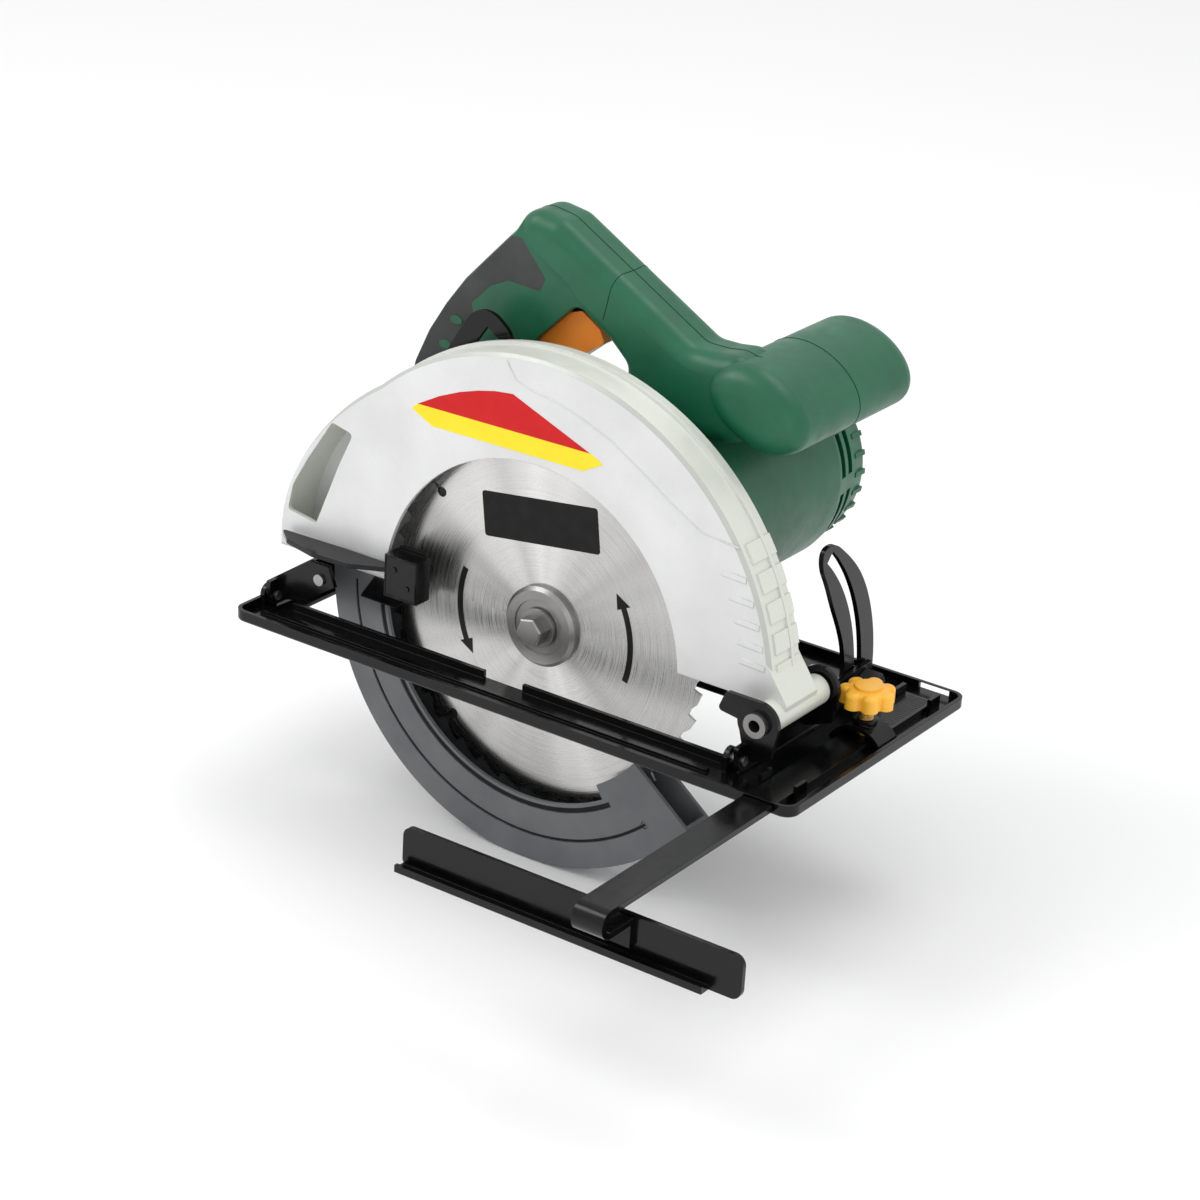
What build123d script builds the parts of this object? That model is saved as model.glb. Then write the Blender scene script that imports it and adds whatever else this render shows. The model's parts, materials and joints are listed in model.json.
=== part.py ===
from build123d import *
import math
import os

# Hand-held circular saw, in millimetres: +X forward, +Y to the motor side, +Z up.
# Every piece is drawn about the blade's centre, then moved into the row frame, whose
# origin lies on the underside of the sole's wide foot, straight below the spindle line.

# --- driving dimensions ---------------------------------------------------------------
SOLE_BELOW = 26.0          # spindle axis above the sole's underside
FOOT_MIDDLE = 70.0         # blade plane to the middle of the wide foot
PLAY = 0.05                # radial running clearance

SOLE_REAR = -153.0
SOLE_FRONT = 175.5
SOLE_NEAR = -51.5
SOLE_FAR = 107.5
SHEET = 2.0                # pressed steel of the sole
RIM_HIGH = 6.0
SLOT_REAR = -134.0
SLOT_FRONT = 122.0
SLOT_NEAR = -25.0
SLOT_FAR = 38.0

BLADE_R = 92.5
BLADE_T = 1.6
TEETH = 40
GULLET = 4.5              # tooth tip to gullet floor
ARBOR_R = 8.0
FLANGE_R = 20.5
BOLT_R = 4.0               # M8 arbor bolt

GUARD_R = 138.5            # upper guard, outside
GUARD_NEAR = -14.5
GUARD_FAR = 12.0
GUARD_WALL = 2.5
WINDOW_R = 87.0
LOWER_R = 121.5            # lower guard, outside
LOWER_IN = 88.5
LOWER_NEAR = -10.6
LOWER_FAR = 8.6

TILT_Y = -28.0             # bevel axis, along X
TILT_Z = -18.0
QUADRANT_X = 129.0
FRONT_LUG_X = 126.0        # hinge lugs for the tilt pins
REAR_LUG_X = -150.6
QUADRANT_R = 104.0
BOLT_AT = 2.2              # bevel bolt's direction from the bevel axis, unbevelled
TILT_PIN_R = 2.5
PIVOT_PIN_R = 5.0
BRACKET_T = 2.5            # pressed steel of the brackets
PIVOT_X = 140.0            # depth pivot, along Y
PIVOT_Z = 2.0
DEPTH_R = 229.0            # depth arc's slot, about the depth pivot
DEPTH_CLAMP = 173.0        # direction of the clamp bolt from the depth pivot

ARM_X = 158.0              # fence arm
ARM_W = 16.0
ARM_Z = -24.0
ARM_T = 3.0
FENCE_Y = -158.0
FENCE_T = 2.5
STRAP_TOP = -15.0          # top of the arched strap over the arm
KNOB_Y = 40.0

MODULE = 1.0               # gears
DRIVE_TEETH = 40
IDLE_PINION_TEETH = 24
IDLE_GEAR_TEETH = 60
MOTOR_TEETH = 20
GEAR_LINE = 57.2           # direction from spindle to motor, degrees above +X

MOTOR_R = 50.0
CASE_FAR = 32.0
PLATE_FAR = 36.0
HOUSING_FAR = 118.0
CAP_FAR = 150.0
SHAFT_R = 4.0              # countershaft and motor shaft
LOCK_STUD_R = 3.0          # depth clamp stud
GRIP_Y = 44.0              # middle plane of the main handle
GRIP_HALF = 16.5
STEP_IN = 3.5              # the rear grip is this much narrower on each side
HANDLE_WALL = 2.8
CORD_Z = 76.0
LOCK_OFF_X = -62.0
LOCK_OFF_Z = 128.0
SPINDLE_LOCK_Y = 26.0
SPINDLE_LOCK_Z = 8.0

sole_z = -SOLE_BELOW
plate_top = sole_z + SHEET
gear_dir = Vector(math.cos(math.radians(GEAR_LINE)), 0, math.sin(math.radians(GEAR_LINE)))
idle_axis = gear_dir * (MODULE * (DRIVE_TEETH + IDLE_PINION_TEETH) / 2)
motor_axis = idle_axis + gear_dir * (MODULE * (IDLE_GEAR_TEETH + MOTOR_TEETH) / 2)


# --- small helpers --------------------------------------------------------------------
def block(x0, x1, y0, y1, z0, z1):
    return Pos((x0 + x1) / 2, (y0 + y1) / 2, (z0 + z1) / 2) * Box(x1 - x0, y1 - y0, z1 - z0)


def rod_y(radius, y0, y1, x=0.0, z=0.0):
    return Pos(x, (y0 + y1) / 2, z) * Rot(90, 0, 0) * Cylinder(radius, y1 - y0)


def rod_x(radius, x0, x1, y, z):
    return Pos((x0 + x1) / 2, y, z) * Rot(0, 90, 0) * Cylinder(radius, x1 - x0)


def rod_z(radius, z0, z1, x, y):
    return Pos(x, y, (z0 + z1) / 2) * Cylinder(radius, z1 - z0)


def tube_y(outer, inner, y0, y1, x=0.0, z=0.0):
    return rod_y(outer, y0, y1, x, z) - rod_y(inner, y0 - 1, y1 + 1, x, z)


def slab_xz(face, y0, y1):
    """A flat outline in X and Z, made solid from y0 to y1."""
    return extrude(Plane.XZ.offset(-y1) * face, amount=y1 - y0)


def slab_yz(face, x0, x1):
    """A flat outline in Y and Z, made solid from x0 to x1."""
    return extrude(Plane.YZ.offset(x0) * face, amount=x1 - x0)


def outline(points, radius=0.0):
    face = make_face(Polyline(*points, close=True))
    if radius:
        face = fillet(face.vertices(), radius)
    return face


def polar(radius, degrees, x=0.0, y=0.0):
    angle = math.radians(degrees)
    return (x + radius * math.cos(angle), y + radius * math.sin(angle))


def band(inner, outer, start, end, centre=(0.0, 0.0)):
    """A flat ring section between two radii and two directions."""
    x, y = centre
    edges = [
        CenterArc((x, y), outer, start, end - start),
        Line(polar(outer, end, x, y), polar(inner, end, x, y)),
        CenterArc((x, y), inner, start, end - start),
        Line(polar(inner, start, x, y), polar(outer, start, x, y)),
    ]
    return make_face(edges)


def star(points, outer, inner):
    corners = []
    for i in range(points * 2):
        radius = outer if i % 2 == 0 else inner
        corners.append(polar(radius, 180 * i / points))
    return outline(corners)


def to_row(shape):
    return Pos(0, -FOOT_MIDDLE, SOLE_BELOW) * shape


def save(shape, node):
    export_step(to_row(shape), f"parts/{node}.step")


# --- sole -----------------------------------------------------------------------------
def base_plate():
    """Pressed sole: flat sheet, turned-up rim, lips along the blade opening."""
    rim_r = 7.0
    wide = SOLE_FRONT - SOLE_REAR
    deep = SOLE_FAR - SOLE_NEAR
    middle = Pos((SOLE_FRONT + SOLE_REAR) / 2, (SOLE_FAR + SOLE_NEAR) / 2)
    outer = middle * RectangleRounded(wide, deep, rim_r)
    inner = middle * RectangleRounded(wide - 2 * SHEET, deep - 2 * SHEET, rim_r - SHEET)
    plate = Pos(0, 0, sole_z) * extrude(outer, amount=RIM_HIGH)
    under = plate.faces().sort_by(Axis.Z)[0]
    plate = fillet(under.edges(), 1.6)
    plate -= Pos(0, 0, plate_top) * extrude(inner, amount=RIM_HIGH)
    plate -= block(SLOT_REAR, SLOT_FRONT, SLOT_NEAR, SLOT_FAR, sole_z - 1, 0)
    for y0 in (SLOT_NEAR - SHEET, SLOT_FAR):
        lip = block(SLOT_REAR, SLOT_FRONT, y0, y0 + SHEET, sole_z, sole_z + RIM_HIGH)
        plate += lip
    rail_middle = (SOLE_NEAR + SLOT_NEAR) / 2
    plate += block(SOLE_REAR + 10, SLOT_FRONT, rail_middle - 1.5, rail_middle + 1.5,
                   plate_top, plate_top + 1.5)
    for y0 in (56.0, 70.0, 84.0):
        plate += block(SOLE_REAR + 20, 112, y0, y0 + 3, plate_top, plate_top + 1.2)
    sight = block(-15, 8, SLOT_NEAR - 4, SLOT_NEAR + 1, plate_top, 0)
    plate -= sight
    for y0 in (SOLE_NEAR - 1, SOLE_FAR - SHEET - 1):
        plate -= block(ARM_X - ARM_W / 2 - 0.4, ARM_X + ARM_W / 2 + 0.4, y0, y0 + SHEET + 2,
                       plate_top, plate_top + ARM_T + 0.6)
    for x0 in (REAR_LUG_X, FRONT_LUG_X):
        lug = block(x0, x0 + 2.5, TILT_Y - 5, TILT_Y + 5, plate_top, TILT_Z)
        lug += rod_x(5, x0, x0 + 2.5, TILT_Y, TILT_Z)
        plate += lug - rod_x(TILT_PIN_R, x0 - 1, x0 + 4, TILT_Y, TILT_Z)
    return plate


def guide_tabs():
    """Small turned-up tabs that keep the fence arm straight."""
    tabs = Part()
    for y0 in (-36.0, 84.0):
        for side in (-1, 1):
            x = ARM_X + side * (ARM_W / 2 + 1.4)
            tabs += block(x - 1, x + 1, y0, y0 + 9, plate_top, plate_top + 7)
    return tabs


def bevel_quadrant():
    """Upright fin with the bevel slot, narrowing to its tip, on a riveted foot."""
    centre = (TILT_Y, TILT_Z)
    outer = [polar(QUADRANT_R + wide, turn, *centre)
             for wide, turn in ((14, 0), (14, 20), (11.5, 34), (8, 45), (5.5, 50))]
    inner = [polar(QUADRANT_R - wide, turn, *centre)
             for wide, turn in ((6.5, 50), (9.5, 45), (13, 34), (12.5, 20), (14, 0))]
    tip = polar(QUADRANT_R, 52.6, *centre)
    face = make_face([Spline(*outer, tip, *inner), Line(inner[-1], outer[0])])
    plate = slab_yz(face, QUADRANT_X, QUADRANT_X + BRACKET_T)
    near_y = TILT_Y + QUADRANT_R - 14
    far_y = TILT_Y + QUADRANT_R + 13
    plate += block(QUADRANT_X, QUADRANT_X + BRACKET_T, near_y, far_y, plate_top, TILT_Z + 1)
    slot = band(QUADRANT_R - 3.2, QUADRANT_R + 3.2, BOLT_AT - 2.8, 49, centre)
    plate -= slab_yz(slot, QUADRANT_X - 1, QUADRANT_X + 4)
    plate += block(QUADRANT_X - 14, QUADRANT_X + BRACKET_T, near_y, far_y,
                   plate_top, plate_top + BRACKET_T)
    return plate


def fence_bridge():
    """Arched strap over the fence arm, with the threaded boss for the knob."""
    outer = 15.8
    inner = outer - 2.3
    middle = (ARM_X, STRAP_TOP - outer)
    arch = slab_xz(band(inner, outer, 0, 180, middle), KNOB_Y - 8, KNOB_Y + 8)
    arch -= block(ARM_X - 30, ARM_X + 30, KNOB_Y - 9, KNOB_Y + 9, STRAP_TOP - 30, plate_top)
    arch += rod_z(6, STRAP_TOP - 1.5, STRAP_TOP + 2, ARM_X, KNOB_Y)
    return arch - rod_z(4, STRAP_TOP - 10, STRAP_TOP + 4, ARM_X, KNOB_Y)


def base_rivets():
    heads = Part()
    for y in (TILT_Y + QUADRANT_R - 8, TILT_Y + QUADRANT_R + 6):
        heads += rod_z(3.2, plate_top + 2.5, plate_top + 4, QUADRANT_X - 8, y)
    return heads


def tilt_pins():
    pins = rod_x(TILT_PIN_R - PLAY, REAR_LUG_X - 0.2, -142.6, TILT_Y, TILT_Z)
    return pins + rod_x(TILT_PIN_R - PLAY, FRONT_LUG_X - 0.5, 135.6, TILT_Y, TILT_Z)


# --- tilting brackets -----------------------------------------------------------------
def front_tilt_bracket():
    """Cross plate on the bevel axis, with two ears for the depth pivot."""
    x0 = QUADRANT_X + 3.2
    face = outline([(TILT_Y - 5, TILT_Z - 1), (TILT_Y - 3, TILT_Z - 4.6), (84, TILT_Z - 4),
                    (84, TILT_Z + 12), (30, TILT_Z + 10), (TILT_Y - 6, TILT_Z + 8)], 1)
    plate = slab_yz(face, x0, x0 + BRACKET_T)
    for y0 in (-27.5, 24.5):
        ring = rod_y(11, y0, y0 + 2.5, PIVOT_X, PIVOT_Z)
        leg = outline([(x0, TILT_Z - 2), (148, TILT_Z + 4), (PIVOT_X + 11, PIVOT_Z),
                       (PIVOT_X - 11, PIVOT_Z), (x0, TILT_Z + 8)])
        plate += ring + slab_xz(leg, y0, y0 + 2.5)
    tab = outline([(118, PIVOT_Z + 1), (PIVOT_X, PIVOT_Z - 2), (PIVOT_X, PIVOT_Z + 11),
                   (122, PIVOT_Z + 11)], 2)
    plate += slab_xz(tab, -27.5, -25)
    plate -= rod_y(PIVOT_PIN_R, -30, 30, PIVOT_X, PIVOT_Z)
    plate -= rod_x(TILT_PIN_R, x0 - 1, x0 + 5, TILT_Y, TILT_Z)
    y, z = polar(QUADRANT_R, BOLT_AT, TILT_Y, TILT_Z)
    return plate - rod_x(3, x0 - 1, x0 + 4, y, z)


def rear_tilt_bracket():
    """Cross plate on the bevel axis, with a near ear and an ear for the depth arc."""
    x0 = -146.0
    face = outline([(TILT_Y - 5, TILT_Z - 1), (TILT_Y - 3, TILT_Z - 4.6), (20, TILT_Z - 3),
                    (20, TILT_Z + 10), (TILT_Y - 6, TILT_Z + 9)], 1)
    plate = slab_yz(face, x0, x0 + BRACKET_T)
    near = outline([(x0, TILT_Z - 3), (-126, TILT_Z + 2), (-108, TILT_Z + 14),
                    (-112, TILT_Z + 24), (-124, TILT_Z + 24), (x0, TILT_Z + 9)])
    plate += slab_xz(near, -27.5, -25)
    far = outline([(x0, TILT_Z - 3), (-78, TILT_Z - 3), (-78, TILT_Z + 10), (x0, TILT_Z + 10)])
    plate += slab_xz(far, 15.6, 18)
    return plate - rod_x(TILT_PIN_R, x0 - 1, x0 + 5, TILT_Y, TILT_Z)


def depth_pivot_pin():
    pin = tube_y(PIVOT_PIN_R - PLAY, 3, -29, 28.5, PIVOT_X, PIVOT_Z)
    pin += tube_y(6, 3, -30.5, -27.6, PIVOT_X, PIVOT_Z)
    return pin + tube_y(6, 3, 27.1, 28.5, PIVOT_X, PIVOT_Z)


def depth_arc():
    """Slotted arc plate about the depth pivot, which sets the cutting depth."""
    centre = (PIVOT_X, PIVOT_Z)
    face = band(DEPTH_R - 15, DEPTH_R + 15, 143, 183, centre)
    ends = face.vertices().sort_by(Axis.Y)[-2:]
    face = fillet(ends, 13)
    slot = band(DEPTH_R - 4.3, DEPTH_R + 4.3, 145, 174.2, centre)
    return slab_xz(face, 13.2, 15.6) - slab_xz(slot, 12, 17)


def bracket_rivets():
    heads = rod_y(3, -29, -27.5, -117, -2)
    for x in (-96.0, -84.0):
        heads += rod_y(2.6, 18, 19.4, x, TILT_Z + 3)
    return heads


def bevel_lock_bolt():
    y, z = polar(QUADRANT_R, BOLT_AT, TILT_Y, TILT_Z)
    bolt = rod_x(2.9, QUADRANT_X - 0.2, QUADRANT_X + 16, y, z)
    return bolt + rod_x(5.5, QUADRANT_X - 3.2, QUADRANT_X - 0.2, y, z)


def bevel_lock_knob():
    y, z = polar(QUADRANT_R, BOLT_AT, TILT_Y, TILT_Z)
    x0 = QUADRANT_X + 6.0
    wings = Pos(0, y, z) * slab_yz(star(5, 6.2, 5.2), x0, x0 + 9)
    return wings - rod_x(2.9 + PLAY, x0 - 1, x0 + 12, y, z)


# --- rip fence ------------------------------------------------------------------------
def fence_arm():
    """Flat strip that hooks back under itself to carry the guide plate."""
    bend_y = FENCE_Y - 19.0
    bend_r = 7.0
    low = ARM_Z + ARM_T - 2 * bend_r
    strip = block(ARM_X - ARM_W / 2, ARM_X + ARM_W / 2, bend_y, 92, ARM_Z, ARM_Z + ARM_T)
    hook = band(bend_r - ARM_T, bend_r, 90, 270, (bend_y, ARM_Z + ARM_T - bend_r))
    strip += slab_yz(hook, ARM_X - ARM_W / 2, ARM_X + ARM_W / 2)
    strip += block(ARM_X - ARM_W / 2, ARM_X + ARM_W / 2, bend_y, FENCE_Y - FENCE_T / 2,
                   low, low + ARM_T)
    strip += block(ARM_X - ARM_W / 2, ARM_X + ARM_W / 2, FENCE_Y - 4.25, FENCE_Y - FENCE_T / 2,
                   low - 11, low + ARM_T)
    return strip


def fence_plate():
    """Upright guide plate with a lip rolled outwards along its foot."""
    x0 = 41.0
    x1 = 221.0
    top = ARM_Z - 7.5
    low = top - 21
    web = slab_xz(outline([(x0, low), (x1, low), (x1, top), (x0, top)], 5),
                  FENCE_Y - FENCE_T / 2, FENCE_Y + FENCE_T / 2)
    web += block(x0, x1 - 16, FENCE_Y - 7, FENCE_Y, low, low + 2)
    web += block(x0, x1 - 16, FENCE_Y - 7, FENCE_Y - 5, low, low + 3.5)
    return web


def fence_knob():
    """Seven-lobed clamping knob on a threaded stud."""
    lobes = Circle(10.5)
    for i in range(7):
        lobes += Pos(*polar(9.6, 360 * i / 7)) * Circle(4.0)
    tall = 8.0
    body = extrude(lobes, amount=tall)
    body = fillet(body.edges().group_by(Axis.Z)[-1], 2.2)
    up = (Align.CENTER, Align.CENTER, Align.MIN)
    body += Pos(0, 0, tall - 0.5) * Cylinder(6.5, 1.7, align=up)
    body += Pos(0, 0, -1.5) * Cylinder(6, 2, align=up)
    body -= Pos(0, 0, -3) * Cylinder(4, 9, align=up)
    return Pos(ARM_X, KNOB_Y, -5.5) * body


def fence_stud():
    return rod_z(4 - PLAY, ARM_Z + ARM_T + 0.2, -0.5, ARM_X, KNOB_Y)


# --- upper guard ----------------------------------------------------------------------
def guard_face(inset, bottom):
    """Side view of the guard: a round front that swells into a chip chute at the rear."""
    radius = GUARD_R - inset
    start = 2.5
    turn = 132.0
    front = polar(radius, start)
    rear = [polar(radius, turn)]
    for x, z in ((-116.0, 84.5), (-138.5, 57.0), (-150.5, 32.0), (-154.5, 12.0)):
        keep = 1 - inset / math.hypot(x, z)
        rear.append((x * keep, z * keep))
    foot_x = rear[-1][0]
    edges = [
        CenterArc((0, 0), radius, start, turn - start),
        Spline(*rear),
        Line(rear[-1], (foot_x, bottom)),
        Line((foot_x, bottom), (front[0], bottom)),
        Line((front[0], bottom), front),
    ]
    return make_face(edges)


def upper_guard():
    """Cast guard: near wall with the blade window, rim, far wall, chute and pivot boss."""
    body = slab_xz(guard_face(0, 2), GUARD_NEAR, GUARD_FAR)
    sides = body.edges().group_by(Axis.Y)
    body = chamfer(sides[0] + sides[-1], 1.8)
    body -= slab_xz(guard_face(GUARD_WALL, -30), GUARD_NEAR + GUARD_WALL, GUARD_FAR - GUARD_WALL)
    body -= rod_y(WINDOW_R, GUARD_NEAR - 1, GUARD_NEAR + GUARD_WALL + 1)
    body -= block(0, WINDOW_R + 60, GUARD_NEAR - 1, GUARD_NEAR + GUARD_WALL + 1, -5, 6.5)
    body -= rod_y(26, GUARD_FAR - GUARD_WALL - 1, GUARD_FAR + 1)
    port = outline([(-122, 76), (-109, 73), (-118, 53), (-131, 20), (-149, 23),
                    (-146, 37), (-137, 53)], 2)
    body -= slab_xz(port, GUARD_NEAR - 1, GUARD_NEAR + GUARD_WALL + 1)
    divider = outline([(-108, 76), (-105, 74), (-114.5, 53), (-127.5, 17), (-130, 18),
                       (-117, 54)])
    body += slab_xz(divider, GUARD_NEAR + 1, GUARD_FAR - 1)
    for i in range(5):
        start = 6 + 6 * i
        rib = band(GUARD_R - 1.5, GUARD_R + 0.9, start, start + 4)
        body += slab_xz(rib, GUARD_NEAR + 5, GUARD_FAR - 2)
    bead = band(GUARD_R - 1, GUARD_R + 1.2, 3, 131)
    body += slab_xz(bead, 2.5, 5.0)
    web = outline([(124.5, 6), (134, 26), (147, 8), (146, -2), (136, -5), (128, 2)])
    body += slab_xz(web, GUARD_NEAR, GUARD_FAR)
    body += rod_y(7.5, -22, 23, PIVOT_X, PIVOT_Z)
    return body - rod_y(PIVOT_PIN_R, -30, 30, PIVOT_X, PIVOT_Z)


# --- lower guard ----------------------------------------------------------------------
def lower_guard():
    """Swinging guard: channel-shaped ring with a back web to its hub."""
    start = 178
    end = 322
    ring = slab_xz(band(LOWER_IN, LOWER_R, start, end), LOWER_NEAR, LOWER_NEAR + 2)
    ring += slab_xz(band(LOWER_IN - 8, LOWER_IN + 1, 302, end), LOWER_NEAR, LOWER_NEAR + 2)
    ring += slab_xz(band(LOWER_R - 2, LOWER_R, start, end), LOWER_NEAR, LOWER_FAR)
    ring += slab_xz(band(20, LOWER_R, start, end), LOWER_FAR - 2, LOWER_FAR)
    ring += tube_y(24, 17.3, LOWER_FAR - 2, LOWER_FAR)
    for inner, outer, last in ((90.2, 93.0, end - 18), (106.5, 108.2, end - 10)):
        groove = band(inner, outer, start + 4, last)
        ring -= slab_xz(groove, LOWER_NEAR - 1, LOWER_NEAR + 0.7)
    hole = Pos(*polar(107.3, end - 10)) * Circle(2.2)
    ring -= slab_xz(hole, LOWER_NEAR - 1, LOWER_NEAR + 0.7)
    return ring - rod_y(17.3, 0, 12)


def guard_lever():
    """Folded steel lever on the lower guard, with a crescent finger shelf."""
    arm = outline([(-104, -12), (-82, -12), (-64, 2), (-64, 22), (-80, 22), (-92, 6)])
    lever = slab_xz(arm, LOWER_NEAR - 1.2, LOWER_NEAR)
    lever += block(-82, -62, -21, LOWER_NEAR, -2, 0)
    lever += block(-64, -62, -21, LOWER_NEAR, -2, 20)
    lever += block(-82, -62, -21, LOWER_NEAR, 18, 20)
    lever += block(-82, -62, -21, -19, -2, 20)
    shelf = outline([(-150, -17.5), (-140, -26), (-120, -31), (-98, -30), (-80, -20.5),
                     (-80, -16), (-112, -16)], 1)
    return lever + Pos(0, 0, 10.5) * extrude(shelf, amount=2.4)


def guard_spring():
    coils = Part()
    for y in (9.5, 11.2):
        coils += Pos(0, y, 0) * Rot(90, 0, 0) * Torus(20, 0.75)
    return coils


# --- blade and spindle ----------------------------------------------------------------
def blade():
    """Toothed disc with four relief slots ending in round holes."""
    body_r = BLADE_R - GULLET
    step = 360 / TEETH
    corners = []
    for i in range(TEETH):
        a = step * i
        corners.append(polar(BLADE_R, a + 0.42 * step))
        corners.append(polar(body_r, a + 0.50 * step))
        corners.append(polar(body_r + 0.5, a + 0.74 * step))
        corners.append(polar(BLADE_R - 1.6, a + 0.98 * step))
    face = outline(corners) - Circle(ARBOR_R + PLAY)
    for i in range(4):
        turn = 141 + 90 * i
        slot = Pos(*polar(82, turn)) * Circle(2.6)
        slot += Rot(0, 0, turn) * Pos(88, 0) * Rectangle(12, 1.4)
        face -= slot
    return slab_xz(face, -BLADE_T / 2, BLADE_T / 2)


def inner_flange():
    return tube_y(FLANGE_R, ARBOR_R + PLAY, 0.85, 4.85)


def outer_flange():
    flange = rod_y(FLANGE_R, -5.0, -0.85)
    flange = chamfer(flange.edges().sort_by(Axis.Y)[0], 1.8)
    flange -= rod_y(14, -5.5, -4.2) - rod_y(9.5, -6, -4)
    flange -= rod_y(ARBOR_R + PLAY, -4, 0)
    return flange - rod_y(BOLT_R + 0.1, -6, 0)


def washer():
    return tube_y(10.0, BOLT_R + 0.1, -6.4, -5.02)


def arbor_bolt():
    head = slab_xz(Rot(0, 0, 12) * RegularPolygon(7.6, 6), -13.4, -6.42)
    head = chamfer(head.edges().group_by(Axis.Y)[0], 0.7)
    return head + rod_y(BOLT_R - PLAY, -6.5, 12)


def spindle_shaft():
    shaft = rod_y(ARBOR_R, -3.9, 5.1)
    shaft += rod_y(7.5, 5, 22.6)
    return shaft - rod_y(BOLT_R, -5, 14)


# --- gear train -----------------------------------------------------------------------
def gear_face(teeth, turn):
    """Straight-sided teeth on the module's pitch circle, first tooth towards turn."""
    pitch_r = MODULE * teeth / 2
    step = 360 / teeth
    corners = []
    for i in range(teeth):
        a = turn + step * i
        corners.append(polar(pitch_r - 1.15 * MODULE, a - 0.36 * step))
        corners.append(polar(pitch_r + 0.9 * MODULE, a - 0.10 * step))
        corners.append(polar(pitch_r + 0.9 * MODULE, a + 0.10 * step))
        corners.append(polar(pitch_r - 1.15 * MODULE, a + 0.36 * step))
    return outline(corners)


def gear(teeth, turn, y0, y1, bore, centre):
    wheel = slab_xz(gear_face(teeth, turn), y0, y1) - rod_y(bore, y0 - 1, y1 + 1)
    return Pos(centre.X, 0, centre.Z) * wheel


def drive_gear():
    return gear(DRIVE_TEETH, GEAR_LINE, 15.5, 22, 7.52, Vector(0, 0, 0))


def idle_shaft():
    return rod_y(SHAFT_R, 12.8, 35.5, idle_axis.X, idle_axis.Z)


def idle_pinion():
    turn = GEAR_LINE + 180 + 180 / IDLE_PINION_TEETH
    return gear(IDLE_PINION_TEETH, turn, 15.5, 22.5, SHAFT_R + 0.02, idle_axis)


def idle_gear():
    return gear(IDLE_GEAR_TEETH, GEAR_LINE, 23.5, 30, SHAFT_R + 0.02, idle_axis)


def motor_pinion():
    turn = GEAR_LINE + 180 + 180 / MOTOR_TEETH
    return gear(MOTOR_TEETH, turn, 23.5, 30, SHAFT_R + 0.02, motor_axis)


def case_face(at_spindle, at_idle, at_motor):
    circles = Circle(at_spindle).edges()
    circles += (Pos(idle_axis.X, idle_axis.Z) * Circle(at_idle)).edges()
    circles += (Pos(motor_axis.X, motor_axis.Z) * Circle(at_motor)).edges()
    return make_hull(circles)


def gear_case():
    """Cast case behind the guard, with the bearing nose that the lower guard swings on."""
    case = slab_xz(case_face(23.2, 34.5, 46.8), GUARD_FAR, CASE_FAR)
    case -= slab_xz(case_face(21.6, 32.2, 43), GUARD_FAR + 2.5, CASE_FAR + 1)
    case += rod_y(17, 5.6, GUARD_FAR + 1)
    case -= rod_y(15, 5, GUARD_FAR)
    case -= rod_y(8, 4, 20)
    case -= rod_x(3, -30, -10, SPINDLE_LOCK_Y, SPINDLE_LOCK_Z)
    return case - rod_y(SHAFT_R + PLAY, 12.7, 20, idle_axis.X, idle_axis.Z)


def gear_plate():
    """Bearing plate that closes the case and carries the rear bearings."""
    plate = slab_xz(case_face(23.2, 34.5, 46.8), CASE_FAR, PLATE_FAR)
    plate -= rod_y(8, 31, 40, idle_axis.X, idle_axis.Z)
    return plate - rod_y(11, 31, 40, motor_axis.X, motor_axis.Z)


def bearings():
    rings = tube_y(15 - 0.02, 7.5 + PLAY, 6, 11.8)
    rings += tube_y(8 - 0.02, SHAFT_R + PLAY, 32.2, 35.8, idle_axis.X, idle_axis.Z)
    rings += tube_y(11 - 0.02, SHAFT_R + PLAY, 32.2, 35.8, motor_axis.X, motor_axis.Z)
    return rings + tube_y(11 - 0.02, SHAFT_R + PLAY, 132.2, 138, motor_axis.X, motor_axis.Z)


# --- motor ----------------------------------------------------------------------------
def about_motor(shape):
    return Pos(motor_axis.X, 0, motor_axis.Z) * shape


def motor_shaft():
    return about_motor(rod_y(SHAFT_R, 22.8, 139))


def motor_fan():
    fan = rod_y(33, 40, 42) + rod_y(10, 42, 52)
    for i in range(9):
        vane = block(9.5, 33, 41.5, 51.5, -0.8, 0.8)
        fan += Rot(0, 40 * i, 0) * vane
    return about_motor(fan - rod_y(SHAFT_R + 0.02, 30, 60))


def armature_core():
    core = rod_y(21, 60, 105)
    for i in range(12):
        core -= Rot(0, 30 * i, 0) * block(15, 22, 59, 106, -1.2, 1.2)
    return about_motor(core - rod_y(SHAFT_R + 0.02, 50, 110))


def commutator():
    ring = rod_y(13, 110, 122)
    for i in range(24):
        ring -= Rot(0, 15 * i, 0) * block(12, 14, 109, 120, -0.3, 0.3)
    return about_motor(ring - rod_y(SHAFT_R + 0.02, 100, 130))


def stator():
    return about_motor(tube_y(46.2, 22.8, 58, 108))


def carbon_brushes():
    pair = block(13.2, 26, 113, 119, -4, 4)
    return about_motor(pair + Rot(0, 180, 0) * pair)


def brush_holders():
    tube = block(15, 40, 111.5, 120.5, -5.5, 5.5) - block(14, 38, 112.8, 119.2, -4.2, 4.2)
    return about_motor(tube + Rot(0, 180, 0) * tube)


def motor_housing():
    """Plastic tube round the motor, with cooling slots near the gear end."""
    tube = tube_y(MOTOR_R, MOTOR_R - 3, 16, HOUSING_FAR)
    for i in range(7):
        slot = block(MOTOR_R - 6, MOTOR_R + 2, 42, 54, -2, 2)
        tube -= Rot(0, 48 + 12 * i, 0) * slot
    tube = about_motor(tube)
    return tube - slab_xz(case_face(23.6, 34.9, 47.2), 10, PLATE_FAR + 0.4)


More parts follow.
